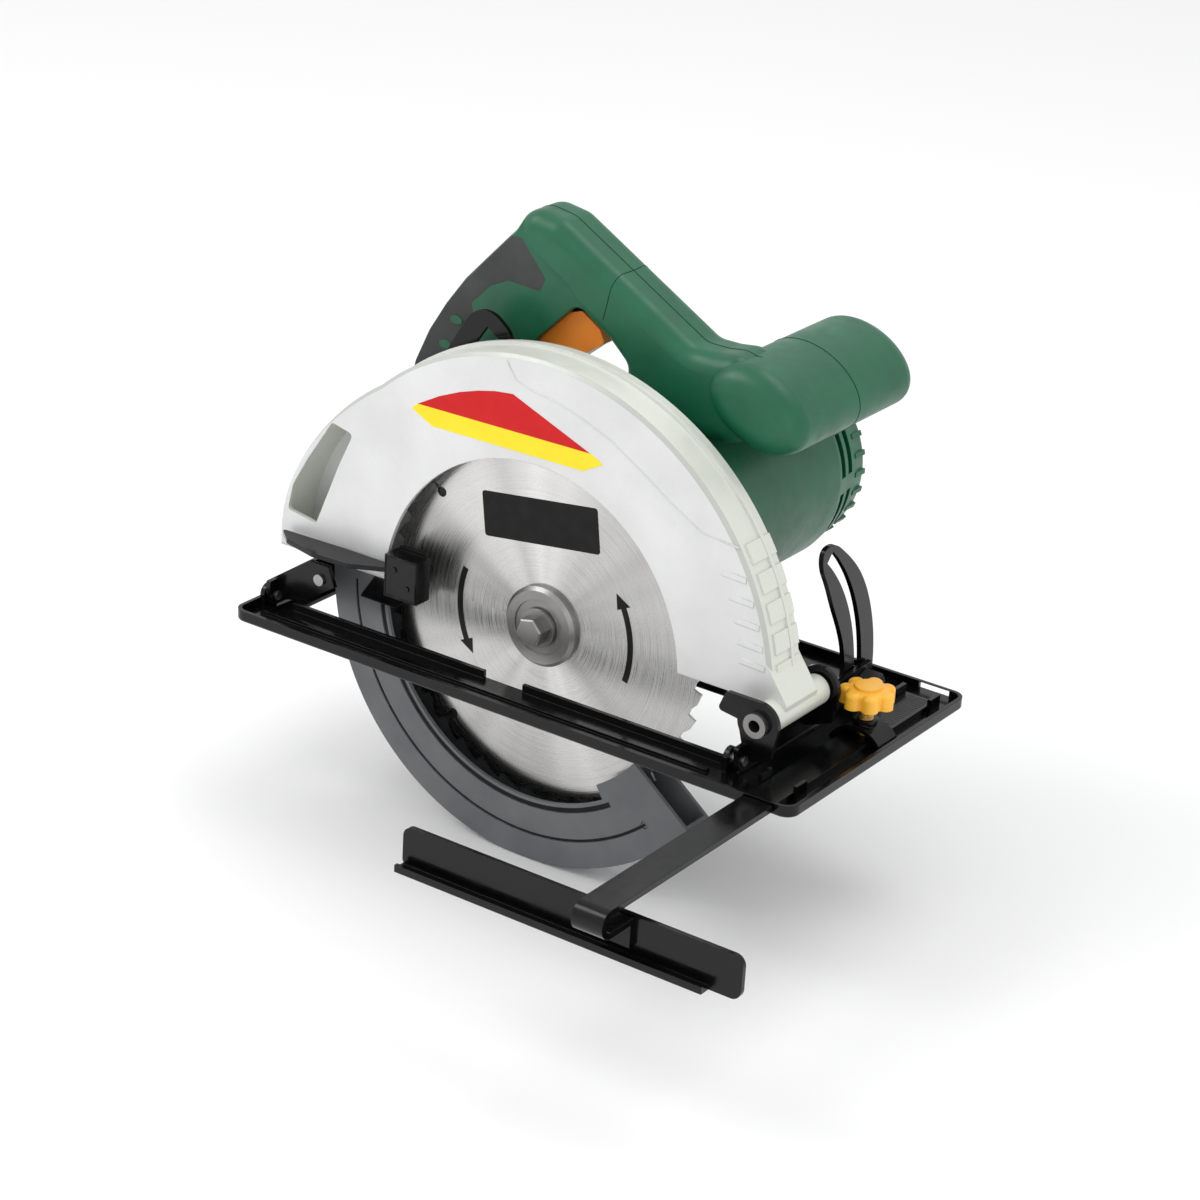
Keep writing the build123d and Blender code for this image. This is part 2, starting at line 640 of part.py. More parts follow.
def motor_end_cap():
    """Tapered end cap with tall air slots and a ribbed end."""
    length = CAP_FAR - HOUSING_FAR
    solid = Pos(0, HOUSING_FAR, 0) * Rot(-90, 0, 0) * Cone(
        MOTOR_R, MOTOR_R - 5, length, align=(Align.CENTER, Align.CENTER, Align.MIN))
    solid = fillet(solid.edges().sort_by(Axis.Y)[-1], 5)
    solid -= Pos(0, HOUSING_FAR - 1, 0) * Rot(-90, 0, 0) * Cone(
        MOTOR_R - 3, MOTOR_R - 8, length - 3, align=(Align.CENTER, Align.CENTER, Align.MIN))
    for y0 in (120.5, 128.5):
        for i in range(10):
            slot = band(MOTOR_R - 10, MOTOR_R + 3, 36 * i + 4, 36 * i + 30)
            solid -= slab_xz(slot, y0, y0 + 4.5)
    for i in range(30):
        rib = block(MOTOR_R - 7, MOTOR_R - 2.6, 137.5, 146, -1.3, 1.3)
        solid += Rot(0, 12 * i, 0) * rib
    solid += tube_y(14, 11, 131, CAP_FAR - 2)
    for i in range(3):
        spoke = block(13.5, MOTOR_R - 8, 136, CAP_FAR - 2, -1.5, 1.5)
        solid += Rot(0, 30 + 120 * i, 0) * spoke
    return about_motor(solid)


# --- handles --------------------------------------------------------------------------
HANDLE_OUTLINE = [(-51, 180), (-43, 193), (-24, 190), (54, 146), (66, 146), (88, 149),
                  (86, 104), (40, 104), (-6, 84), (-20, 60), (-74, 52), (-113, 62),
                  (-112.5, 81), (-109, 100), (-101, 118), (-91.5, 133.5), (-80.5, 148.5),
                  (-67, 163)]
FINGER_GAP = [(-12, 152), (8, 140), (19, 130), (20, 112), (2, 104), (-26, 84), (-48, 82),
              (-50, 104), (-34, 130)]
TRIGGER_OUTLINE = [(-13, 147), (-2, 140), (1, 134), (-8, 128), (-20, 118), (-33, 104),
                   (-41, 97), (-50, 101), (-56, 108), (-43, 127), (-27, 142)]
TRIGGER_POCKET = [(-8, 154), (-30, 100), (-42, 92), (-66, 92), (-66, 112), (-44, 138),
                  (-26, 154)]
GRIP_PATCH = [(-64, 176), (-46, 177), (-31, 160), (-34, 153), (-53, 154), (-63, 149),
              (-74, 138), (-72, 128), (-82, 108), (-90, 90), (-125, 88), (-125, 120),
              (-95, 152)]
NARROW_PART = [(-49, 200), (-41, 177), (-16, 162), (5, 141), (18, 124), (16, 100),
               (-60, 50), (-130, 50), (-130, 200)]


def end_edges(solid, box):
    """Edges in the handle's two side planes whose centres lie in a box of X and Z."""
    x0, x1, z0, z1 = box
    chosen = []
    for edge in solid.edges():
        c = edge.center()
        if abs(abs(c.Y - GRIP_Y) - GRIP_HALF) < 0.01 and x0 < c.X < x1 and z0 < c.Z < z1:
            chosen.append(edge)
    return chosen


def handle_solid():
    """Solid form of the closed grip, with rounded outer and inner edges."""
    y0 = GRIP_Y - GRIP_HALF
    y1 = GRIP_Y + GRIP_HALF
    body = slab_xz(outline(HANDLE_OUTLINE, 12), y0, y1)
    body = fillet(end_edges(body, (-200, 200, 0, 300)), 9)
    body -= slab_xz(outline(FINGER_GAP, 7), y0 - 1, y1 + 1)
    body = fillet(end_edges(body, (-56, 24, 78, 156)), 5)
    narrow = outline(NARROW_PART)
    body -= slab_xz(narrow, y0 - 1, y0 + STEP_IN) + slab_xz(narrow, y1 - STEP_IN, y1 + 1)
    return body - about_motor(rod_y(MOTOR_R + 0.02, 10, 120))


def front_handle_solid(y0, y1):
    oval = Pos(92, 126) * Rot(0, 0, -22) * Ellipse(28, 18.5)
    return slab_xz(oval, y0, y1)


def handle_hollow():
    face = offset(outline(HANDLE_OUTLINE, 10), amount=-3.5)
    face -= offset(outline(FINGER_GAP, 6), amount=3.5)
    half = GRIP_HALF - STEP_IN - HANDLE_WALL
    hollow = slab_xz(face, GRIP_Y - half, GRIP_Y + half)
    return hollow - about_motor(rod_y(MOTOR_R + 3.5, 10, 120)) - front_handle_solid(20, 70)


def handle_parts():
    """The two handle halves and the soft grip, all cut from one form."""
    near_knob = front_handle_solid(22, 78)
    near_knob = fillet(near_knob.edges().sort_by(Axis.Y)[0], 12)
    form = handle_solid() + near_knob
    form -= handle_hollow()
    form -= slab_xz(outline(TRIGGER_POCKET), GRIP_Y - 8, GRIP_Y + 8)
    patch = slab_xz(outline(GRIP_PATCH), GRIP_Y - 30, GRIP_Y + 30)
    form -= rod_x(5.02, -125, -100, GRIP_Y, CORD_Z)
    form -= rod_y(5, GRIP_Y + 9, GRIP_Y + GRIP_HALF + 10, LOCK_OFF_X, LOCK_OFF_Z)
    grip = form & patch
    shells = form - patch
    left = shells & block(-200, 200, -20, GRIP_Y, 0, 300)
    right = shells & block(-200, 200, GRIP_Y, 100, 0, 300)
    return left, right, grip


def front_handle_cap():
    cap = front_handle_solid(78, 133)
    return fillet(cap.edges().sort_by(Axis.Y)[-1], 12)


def trigger():
    return slab_xz(outline(TRIGGER_OUTLINE, 2), GRIP_Y - 7.4, GRIP_Y + 7.4)


def lock_off_button():
    far = GRIP_Y + GRIP_HALF + 0.5
    return rod_y(5 - 0.2, GRIP_Y + 9.6, far, LOCK_OFF_X, LOCK_OFF_Z)


def switch_body():
    return block(-90, -70, GRIP_Y - 8, GRIP_Y + 8, 96, 118)


def cord_inlet():
    """Rubber bush where the mains cord enters the handle."""
    bush = rod_x(5, -124, -101, GRIP_Y, CORD_Z) + rod_x(7.5, -124, -114, GRIP_Y, CORD_Z)
    return bush - rod_x(3.6, -130, -95, GRIP_Y, CORD_Z)


def handle_screws():
    heads = Part()
    wide = GRIP_Y + GRIP_HALF
    for x, z, y in ((-30, 178, wide), (26, 146, wide), (60, 120, wide),
                    (-96, 96, wide - STEP_IN), (-60, 72, wide - STEP_IN)):
        heads += rod_y(3.2, y, y + 1.2, x, z)
    return heads


def cap_screws():
    heads = Part()
    for i in range(4):
        heads += Rot(0, 45 + 90 * i, 0) * rod_y(3, CAP_FAR, CAP_FAR + 1.6, 36, 0)
    return about_motor(heads)


def spindle_lock():
    """Spring button on the gear case that holds the spindle for blade changes."""
    pin = rod_x(3 - PLAY, -36, -20, SPINDLE_LOCK_Y, SPINDLE_LOCK_Z)
    return pin + rod_x(6, -42, -36, SPINDLE_LOCK_Y, SPINDLE_LOCK_Z)


def depth_stud():
    x, z = polar(DEPTH_R, DEPTH_CLAMP, PIVOT_X, PIVOT_Z)
    return rod_y(LOCK_STUD_R - PLAY, GUARD_FAR, 25, x, z)


def depth_lock_lever():
    x, z = polar(DEPTH_R, DEPTH_CLAMP, PIVOT_X, PIVOT_Z)
    lever = rod_y(8, 16.2, 26, x, z)
    face = outline([(x, z + 7), (x - 40, z + 4), (x - 44, z - 2), (x, z - 7)], 1.5)
    lever += slab_xz(face, 19, 26)
    return lever - rod_y(LOCK_STUD_R, 10, 40, x, z)


# --- all pieces -----------------------------------------------------------------------
os.makedirs("parts", exist_ok=True)
PIECES = [
    base_plate, guide_tabs, bevel_quadrant, fence_bridge, base_rivets, tilt_pins,
    front_tilt_bracket, rear_tilt_bracket, depth_pivot_pin, depth_arc, bracket_rivets,
    bevel_lock_bolt, bevel_lock_knob, fence_arm, fence_plate, fence_knob, fence_stud,
    upper_guard, lower_guard, guard_lever, guard_spring, blade, inner_flange,
    outer_flange, washer, arbor_bolt, spindle_shaft, drive_gear, idle_shaft,
    idle_pinion, idle_gear, motor_pinion, gear_case, gear_plate, bearings, motor_shaft,
    motor_fan, armature_core, commutator, stator, carbon_brushes, brush_holders,
    motor_housing, motor_end_cap, front_handle_cap, trigger, lock_off_button,
    switch_body, cord_inlet, handle_screws, cap_screws, spindle_lock, depth_stud,
    depth_lock_lever,
]
for piece in PIECES:
    save(piece(), piece.__name__)
handle_left, handle_right, grip_cover = handle_parts()
save(handle_left, "handle_left")
save(handle_right, "handle_right")
save(grip_cover, "grip_cover")
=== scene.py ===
"""Circular saw: looks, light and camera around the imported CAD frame."""

import math

import bmesh
import bpy
from mathutils import Matrix, Quaternion, Vector
from mathutils.bvhtree import BVHTree
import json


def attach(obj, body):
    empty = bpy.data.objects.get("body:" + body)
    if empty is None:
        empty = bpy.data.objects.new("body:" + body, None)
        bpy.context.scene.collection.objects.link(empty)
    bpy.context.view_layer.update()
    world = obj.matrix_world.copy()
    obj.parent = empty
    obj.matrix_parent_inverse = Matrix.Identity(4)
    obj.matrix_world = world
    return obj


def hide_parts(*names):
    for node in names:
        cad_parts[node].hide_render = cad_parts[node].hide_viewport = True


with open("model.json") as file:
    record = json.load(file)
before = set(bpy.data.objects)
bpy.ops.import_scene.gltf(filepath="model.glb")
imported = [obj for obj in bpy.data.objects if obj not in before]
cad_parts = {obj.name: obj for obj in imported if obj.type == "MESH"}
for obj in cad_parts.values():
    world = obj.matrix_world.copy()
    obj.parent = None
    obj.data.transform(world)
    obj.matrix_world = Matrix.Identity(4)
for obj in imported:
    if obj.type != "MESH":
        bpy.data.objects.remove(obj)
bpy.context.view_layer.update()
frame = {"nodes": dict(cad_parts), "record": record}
nodes = frame["nodes"]

# Every length below is in millimetres about the blade's centre: X forward, Y to the motor
# side, Z up. row() turns it into the row frame in metres.
MM = 0.001
FOOT_MIDDLE = 70.0         # the row frame's origin is this far to the motor side
SOLE_BELOW = 26.0          # and this far below the blade's centre

GUARD_NEAR = -14.5         # near face of the upper guard
GUARD_R = 138.5
BLADE_FACE = -0.8
GROOVE_FLOOR = -9.9        # bottom of the two grooves in the lower guard
LEVER_FACE = -21.0         # near face of the lower guard's lever
ARM_X = 158.0              # fence arm
ARM_TOP = -21.0
KNOB_Y = 40.0              # fence clamp
GRIP_Y = 44.0              # middle plane of the main handle
GRIP_HALF = 16.5
STEP_IN = 3.5              # the rear grip is this much narrower on each side
FRONT_HANDLE_X = 92.0
FRONT_HANDLE_Z = 126.0
MOTOR_X = 39.0
MOTOR_Z = 60.5
CAP_FAR = 150.0            # far face of the motor's end cap
CAP_SCREW_R = 36.0         # circle of the cap's screws
FAR_AWAY = 80.0            # rays that look for a surface start this far out
FLOOR_Z = -121.8
FLOOR_HALF = 5000

# Noise mostly stays between these two values.
NOISE_LOW = 0.3
NOISE_HIGH = 0.7


def row(x, y, z):
    return Vector((x * MM, (y - FOOT_MIDDLE) * MM, (z + SOLE_BELOW) * MM))


def srgb(r, g, b):
    def linear(c):
        c /= 255
        return c / 12.92 if c <= 0.04045 else ((c + 0.055) / 1.055) ** 2.4

    return (linear(r), linear(g), linear(b), 1.0)


# --- materials --------------------------------------------------------------------------
class Finish:
    """One procedural material and the nodes that make it."""

    def __init__(self, name, **sockets):
        self.material = bpy.data.materials.new(name)
        self.material.use_nodes = True
        self.nodes = self.material.node_tree.nodes
        self.links = self.material.node_tree.links
        self.shader = self.nodes["Principled BSDF"]
        for socket, value in sockets.items():
            self.shader.inputs[socket.replace("_", " ")].default_value = value
        self.place = self.add("ShaderNodeTexCoord").outputs["Object"]

    def add(self, kind, inputs=None, **settings):
        node = self.nodes.new(kind)
        for key, value in settings.items():
            setattr(node, key, value)
        for socket, value in (inputs or {}).items():
            if isinstance(value, bpy.types.NodeSocket):
                self.links.new(value, node.inputs[socket])
            else:
                node.inputs[socket].default_value = value
        return node

    def maths(self, operation, a, b=0.0, clamp=False):
        node = self.add("ShaderNodeMath", {0: a, 1: b}, operation=operation, use_clamp=clamp)
        return node.outputs[0]

    def noise(self, size, detail=3.0, place=None, rough=0.55):
        """Noise whose blobs are about size millimetres across."""
        node = self.add(
            "ShaderNodeTexNoise",
            {"Vector": place or self.place, "Scale": 1 / (size * MM), "Detail": detail,
             "Roughness": rough},
        )
        return node.outputs["Fac"]

    def fit(self, value, low, high, to_low=0.0, to_high=1.0):
        node = self.add(
            "ShaderNodeMapRange",
            {"Value": value, "From Min": low, "From Max": high, "To Min": to_low,
             "To Max": to_high},
        )
        return node.outputs["Result"]

    def spread(self, noise, low=0.0, high=1.0):
        """Noise stretched to run from low to high."""
        return self.fit(noise, NOISE_LOW, NOISE_HIGH, low, high)

    def mix(self, factor, a, b):
        node = self.add("ShaderNodeMix", data_type="RGBA")
        for index, value in ((0, factor), (6, a), (7, b)):
            if isinstance(value, bpy.types.NodeSocket):
                self.links.new(value, node.inputs[index])
            else:
                node.inputs[index].default_value = value
        return node.outputs[2]

    def colour(self, value):
        self.links.new(value, self.shader.inputs["Base Color"])

    def roughness(self, value):
        self.links.new(value, self.shader.inputs["Roughness"])

    def bump(self, height, depth, strength=1.0, under=None):
        """Relief of depth millimetres from a height between 0 and 1."""
        inputs = {"Height": height, "Strength": strength, "Distance": depth * MM}
        if under is not None:
            inputs["Normal"] = under
        return self.add("ShaderNodeBump", inputs).outputs["Normal"]

    def normal(self, value):
        self.links.new(value, self.shader.inputs["Normal"])

    def rounded(self, radius):
        return self.add("ShaderNodeBevel", {"Radius": radius * MM}, samples=4).outputs["Normal"]

    def edges(self, radius):
        """1 along sharp edges and 0 on flat faces."""
        soft = self.rounded(radius)
        plain = self.add("ShaderNodeNewGeometry").outputs["Normal"]
        dot = self.add("ShaderNodeVectorMath", {0: soft, 1: plain}, operation="DOT_PRODUCT")
        return self.fit(dot.outputs["Value"], 0.995, 0.8)

    def about_spindle(self):
        """(radius in mm, direction in radians) about the blade's axis."""
        offset = row(0, 0, 0)
        moved = self.add(
            "ShaderNodeVectorMath", {0: self.place, 1: tuple(-c for c in offset)},
            operation="ADD",
        ).outputs["Vector"]
        parts = self.add("ShaderNodeSeparateXYZ", {"Vector": moved}).outputs
        x, z = parts["X"], parts["Z"]
        square = self.maths("ADD", self.maths("MULTIPLY", x, x), self.maths("MULTIPLY", z, z))
        radius = self.maths("MULTIPLY", self.maths("SQRT", square), 1 / MM)
        return radius, self.maths("ARCTAN2", z, x)


def moulded(name, shade, light, roughness, grain=0.5, depth=0.03, **sockets):
    """Moulded plastic: fine spark-eroded grain, soft mottling and paler rubbed edges."""
    f = Finish(name, **sockets)
    mottle = f.noise(28, 4)
    body = f.mix(f.spread(mottle), srgb(*shade), srgb(*light))
    rub = f.maths("MULTIPLY", f.edges(0.5), f.fit(f.noise(6, 4), 0.45, 0.75, 0, 0.35))
    f.colour(f.mix(rub, body, srgb(*[min(255, int(c * 1.25) + 18) for c in light])))
    fine = f.noise(grain, 2)
    f.roughness(f.spread(f.noise(9, 3), roughness - 0.05, roughness + 0.07))
    f.normal(f.bump(fine, depth, 1.0, f.rounded(0.45)))
    return f.material


def painted(name, shade, light, roughness, orange_peel, chip, chips=0.55, ior=1.5):
    """Painted metal: slight orange peel, softly varying gloss and chipped sharp edges."""
    f = Finish(name, IOR=ior)
    mottle = f.noise(35, 5)
    body = f.mix(f.spread(mottle), srgb(*shade), srgb(*light))
    worn = f.maths("MULTIPLY", f.edges(0.45), f.fit(f.noise(3.5, 6), chips, chips + 0.12))
    f.colour(f.mix(worn, body, srgb(*chip)))
    f.roughness(f.spread(f.noise(12, 4), roughness - 0.06, roughness + 0.09))
    f.normal(f.bump(f.noise(2.2, 2), orange_peel, 1.0, f.rounded(0.4)))
    return f.material


def metal(name, colour, roughness, streak=(1, 1, 1), size=2.0, stain=0.85, depth=0.01):
    """Bare metal with drawn or ground streaks and faint staining."""
    f = Finish(name, Metallic=1.0)
    stretched = f.add("ShaderNodeMapping", {"Vector": f.place, "Scale": streak}).outputs[0]
    lines = f.noise(size, 6, stretched)
    dark = tuple(c * stain for c in srgb(*colour)[:3]) + (1.0,)
    f.colour(f.mix(f.fit(f.noise(14, 5), 0.35, 0.7), srgb(*colour), dark))
    f.roughness(f.spread(lines, roughness - 0.08, roughness + 0.1))
    f.normal(f.bump(lines, depth, 0.6, f.rounded(0.3)))
    return f.material


def guard_casting():
    """Silver painted casting: fine cast grain; by which way the surface faces, painted cream light
    on the rim band and painted shade on the chamfers.
    """
    f = Finish("guard_casting", Coat_Weight=0.15, Coat_Roughness=0.25)
    side = f.add("ShaderNodeTexCoord").outputs["Normal"]
    across = f.add("ShaderNodeSeparateXYZ", {"Vector": side}).outputs["Y"]
    facing = f.maths("ABSOLUTE", across)
    radius, _ = f.about_spindle()
    # Masks by which way the surface faces: painted light on the rim band, painted shade on the
    # chamfers.
    outside = f.fit(radius, GUARD_R - 9, GUARD_R - 6)
    rim = f.maths("MULTIPLY", f.fit(facing, 0.35, 0.2), outside)
    chamfer = f.maths("MULTIPLY", f.fit(facing, 0.95, 0.8), outside)
    chamfer = f.maths("SUBTRACT", chamfer, rim, True)
    body = f.mix(f.spread(f.noise(45, 5)), srgb(214, 215, 214), srgb(228, 229, 228))
    # Painted cream light on the rim band, then painted grey shade on the chamfers.
    body = f.mix(f.maths("MULTIPLY", rim, 0.8), body, srgb(221, 224, 212))
    body = f.mix(f.maths("MULTIPLY", chamfer, 0.7), body, srgb(176, 179, 170))
    fleck = f.fit(f.noise(0.9, 2), 0.62, 0.75, 0, 0.25)
    body = f.mix(fleck, body, srgb(170, 172, 172))
    scuff = f.maths("MULTIPLY", f.edges(0.5), f.fit(f.noise(4, 5), 0.5, 0.7, 0, 0.5))
    f.colour(f.mix(scuff, body, srgb(150, 151, 150)))
    f.shader.inputs["Metallic"].default_value = 0.25
    f.roughness(f.spread(f.noise(10, 4), 0.36, 0.5))
    cast = f.bump(f.noise(1.1, 3), 0.03, 1.0, f.rounded(0.6))
    f.normal(f.bump(f.noise(22, 2), 0.12, 0.5, cast))
    return f.material


def ground_steel_with_painted_sheen():
    """Blade: turned rings, and bright and dark sectors of painted sheen by direction about the
    spindle.
    """
    f = Finish("ground_steel_with_painted_sheen", Metallic=1.0, Anisotropic=0.9)
    radius, turn = f.about_spindle()
    along = f.add(
        "ShaderNodeCombineXYZ",
        {"X": f.maths("MULTIPLY", radius, 2.2), "Y": f.maths("MULTIPLY", turn, 1.5)},
    ).outputs[0]
    rings = f.add("ShaderNodeTexNoise", {"Vector": along, "Scale": 1.0, "Detail": 5.0}).outputs[0]
    # Painted sheen: bright and dark sectors by direction about the spindle, standing in for light
    # on ground steel.
    sheen_direction = f.add("ShaderNodeCombineXYZ", {"X": f.maths("SINE", turn), "Y": f.maths("COSINE", turn)})
    painted_sheen_sector = f.add(
        "ShaderNodeTexNoise", {"Vector": sheen_direction.outputs[0], "Scale": 1.7, "Detail": 2.0}
    ).outputs[0]
    # Colour mixes the real turned rings with the painted sheen sectors.
    rings_and_painted_sheen = f.maths("ADD", f.maths("MULTIPLY", rings, 0.35), f.maths("MULTIPLY", painted_sheen_sector, 0.65))
    f.colour(f.mix(f.fit(rings_and_painted_sheen, 0.36, 0.64), srgb(172, 171, 169), srgb(226, 225, 223)))
    f.roughness(f.spread(rings, 0.22, 0.34))
    f.normal(f.bump(rings, 0.006, 0.8))
    tangent = f.add("ShaderNodeTangent", direction_type="RADIAL", axis="Y").outputs[0]
    f.links.new(tangent, f.shader.inputs["Tangent"])
    return f.material


def printed(name, colour, roughness=0.42, ior=1.45):
    """Printed film: even ink with faint speckle."""
    f = Finish(name, IOR=ior)
    ink = srgb(*colour)
    faded = tuple(min(1.0, c * 1.12 + 0.01) for c in ink[:3]) + (1.0,)
    f.colour(f.mix(f.fit(f.noise(9, 4), 0.4, 0.75, 0, 0.5), ink, faded))
    f.roughness(f.spread(f.noise(8, 3), roughness - 0.04, roughness + 0.06))
    f.normal(f.bump(f.noise(1.5, 2), 0.006))
    return f.material


finishes = {
    "black_steel": painted("black_steel", (7, 7, 8), (12, 12, 13), 0.17, 0.02, (96, 96, 98),
                           chips=0.66, ior=1.36),
    "guard_steel": painted("lower_guard_steel", (88, 90, 93), (106, 108, 110), 0.36, 0.02,
                           (140, 140, 140)),
    "guard_paint": guard_casting(),
    "blade_steel": ground_steel_with_painted_sheen(),
    "bare_steel": metal("bare_steel", (176, 176, 174), 0.34, (1, 8, 1)),
    "dark_steel": metal("dark_steel", (158, 157, 155), 0.36, (6, 1, 1)),
    "brass_plate": metal("brass_plate", (205, 176, 110), 0.32, (1, 1, 12)),
    "cast_alloy": metal("cast_alloy", (160, 161, 163), 0.5, (1, 1, 1), 1.0, 0.8, 0.03),
    "lamination": metal("lamination", (96, 98, 104), 0.5, (1, 40, 1), 8.0),
    "copper": metal("copper", (196, 112, 74), 0.3, (1, 14, 1)),
    "carbon": moulded("carbon", (24, 24, 26), (38, 38, 40), 0.7),
    "black_plastic": moulded("black_plastic", (16, 16, 17), (26, 26, 27), 0.38),
    "amber_plastic": moulded("amber_plastic", (255, 178, 42), (255, 198, 70), 0.3, 0.8, 0.01),
    "green_plastic": moulded("green_plastic", (8, 84, 56), (14, 98, 66), 0.4, 0.55, 0.035),
    "orange_plastic": moulded("orange_plastic", (255, 138, 40), (255, 158, 60), 0.4, 0.5, 0.02),
    "black_rubber": moulded("black_rubber", (20, 20, 21), (30, 30, 31), 0.72, 0.4, 0.04),
    "grey_rubber": moulded("grey_rubber", (50, 53, 53), (66, 70, 69), 0.7, 0.4, 0.05),
    "label_red": printed("label_red", (202, 8, 14), 0.42, 1.35),
    "label_yellow": printed("label_yellow", (248, 222, 24)),
    # Black ink for the blade's print, also used as painted shade in the guard's grooves and the
    # screw recesses.
    "print_and_shade_black": printed("print_and_shade_black", (8, 8, 9), 0.4, 1.3),
    "seam": printed("seam", (10, 48, 35), 0.6, 1.3),
}


def dress_nodes():
    """Gives each CAD node the finish of its material slot in the record."""
    for part in frame["record"]["subparts"]:
        materials = nodes[part["node"]].data.materials
        materials.clear()
        materials.append(finishes[part["material_slot"]])


dress_nodes()


# --- extra pieces -----------------------------------------------------------------------
def piece(name, mesh, body, slot, smooth=None):
    """Adds a mesh that rides on a CAD body and takes its finish from a slot."""
    item = bpy.data.objects.new(name, mesh)
    bpy.context.scene.collection.objects.link(item)
    if smooth is not None:
        mesh.shade_smooth()
        mesh.set_sharp_from_angle(angle=math.radians(smooth))
    if not mesh.materials:
        mesh.materials.append(finishes[slot])
    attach(item, body)
    return item


def sheet_mesh(name, points, y_front, thick):
    """A flat shape drawn in X and Z, made thick millimetres solid behind y_front."""
    form = bmesh.new()
    front = [form.verts.new(row(x, y_front, z)) for x, z in points]
    face = form.faces.new(front)
    back = bmesh.ops.extrude_face_region(form, geom=[face])
    moved = [v for v in back["geom"] if isinstance(v, bmesh.types.BMVert)]
    bmesh.ops.translate(form, verts=moved, vec=(0, thick * MM, 0))
    bmesh.ops.recalc_face_normals(form, faces=form.faces)
    mesh = bpy.data.meshes.new(name)
    form.to_mesh(mesh)
    form.free()
    return mesh


def arc(radius, start, end, steps):
    points = []
    for i in range(steps + 1):
        angle = math.radians(start + (end - start) * i / steps)
        points.append((radius * math.cos(angle), radius * math.sin(angle)))
    return points


def arrow(radius, start, end, wide, head):
    """A curved arrow about the spindle, with its point at end."""
    outer = arc(radius + wide / 2, start, end - head, 16)
    inner = arc(radius - wide / 2, end - head, start, 16)
    barb = math.radians(end - head)
    tip = math.radians(end)
    point = []
    for reach, angle in ((radius + wide * 1.25, barb), (radius - wide * 0.2, tip),
                         (radius - wide * 1.25, barb)):
        point.append((reach * math.cos(angle), reach * math.sin(angle)))
    return outer + point + inner


def flat_print_and_shade(name, points, y_front, thick, finish, body, slot):
    """A flat field that stands a little proud of a flat face: print on the labels, painted shade in
    the guard's grooves and the screw recesses.
    """
    mesh = sheet_mesh(name, points, y_front, thick)
    mesh.materials.append(finishes[finish])
    piece(name, mesh, body, slot)


def guard_labels():
    """Red field over a yellow band on the guard, with no lettering."""
    top = [(-56.8, 106.6), (-45.1, 111.6), (-34.5, 115.0), (-24.7, 117.3), (-14.3, 118.5)]
    rear = (-69.8, 99.4)
    front = (31.0, 100.9)
    below = [(34.5, 99.6), (38.6, 97.3), (27.6, 91.3), (-60.9, 90.3)]
    fields = {"label_red": [rear, *top, front],
              "label_yellow": [(-73.3, 96.2), rear, front, *below]}
    for finish, points in fields.items():
        flat_print_and_shade("guard_" + finish, points, GUARD_NEAR - 0.15, 0.2, finish, "motor_unit",
                   "guard_paint")


def rounded_box(centre, wide, tall, corner_r, degrees):
    """Outline of a turned box with rounded corners."""
    turn = math.radians(degrees)
    outline = []
    for x_side, z_side, start in ((1, 1, 0), (-1, 1, 90), (-1, -1, 180), (1, -1, 270)):
        for dx, dz in arc(corner_r, start, start + 90, 4):
            x = x_side * (wide / 2 - corner_r) + dx
            z = z_side * (tall / 2 - corner_r) + dz
            outline.append((x * math.cos(turn) - z * math.sin(turn) + centre[0],
                            x * math.sin(turn) + z * math.cos(turn) + centre[1]))
    return outline


def blade_labels():
    """Plain black field and two turning arrows on the blade."""
    shapes = {"blade_label": rounded_box((-4.5, 52.4), 68, 23, 1.6, 7.6),
              "blade_arrow_rear": arrow(50.2, 161, 214, 3.2, 9),
              "blade_arrow_front": arrow(51.0, -17, 35, 3.2, 9)}
    for name, points in shapes.items():
        flat_print_and_shade(name, points, BLADE_FACE - 0.1, 0.15, "print_and_shade_black", "blade_set", "blade_steel")


def groove_shades():
    """Painted shade: dark bands at the floor of the two curved grooves of the lower guard."""
    start = 182
    for name, inside, outside, end in (("inner", 90.4, 92.8, 304), ("outer", 106.7, 108.0, 312)):
        points = arc(outside, start, end, 60) + arc(inside, end, start, 60)
        flat_print_and_shade(f"guard_groove_shade_{name}", points, GROOVE_FLOOR - 0.08, 0.1, "print_and_shade_black",
                   "swing_guard", "guard_steel")


def lathe(name, profile, centre, steps=48, thread=0.0, pitch=1.25):
    """Turned shape about a vertical line; thread millimetres deep where asked."""
    verts, faces = [], []
    for z, radius in profile:
        for k in range(steps):
            angle = 2 * math.pi * k / steps
            wave = abs(((z / pitch - k / steps) % 1.0) * 2 - 1)
            r = radius - thread * wave
            verts.append(row(centre[0] + r * math.cos(angle), centre[1] + r * math.sin(angle), z))
    for i in range(len(profile) - 1):
        for k in range(steps):
            n = (k + 1) % steps
            faces.append((i * steps + k, i * steps + n, (i + 1) * steps + n, (i + 1) * steps + k))
    faces.append(tuple(reversed(range(steps))))
    faces.append(tuple(range((len(profile) - 1) * steps, len(profile) * steps)))
    mesh = bpy.data.meshes.new(name)
    mesh.from_pydata(verts, [], faces)
    return mesh


def threaded_stud():
    """The fence clamp's stud with its real screw thread."""
    low, high = -20.8, -0.5
    rings = 110
    stud_r = 3.95
    profile = [(low + (high - low) * i / rings, stud_r) for i in range(rings + 1)]
    mesh = lathe("fence_stud_thread", profile, (ARM_X, KNOB_Y), steps=36, thread=0.62)
    stud = piece("fence_stud_thread", mesh, "fence_clamp", "brass_plate", smooth=60)
    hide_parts("fence_stud")


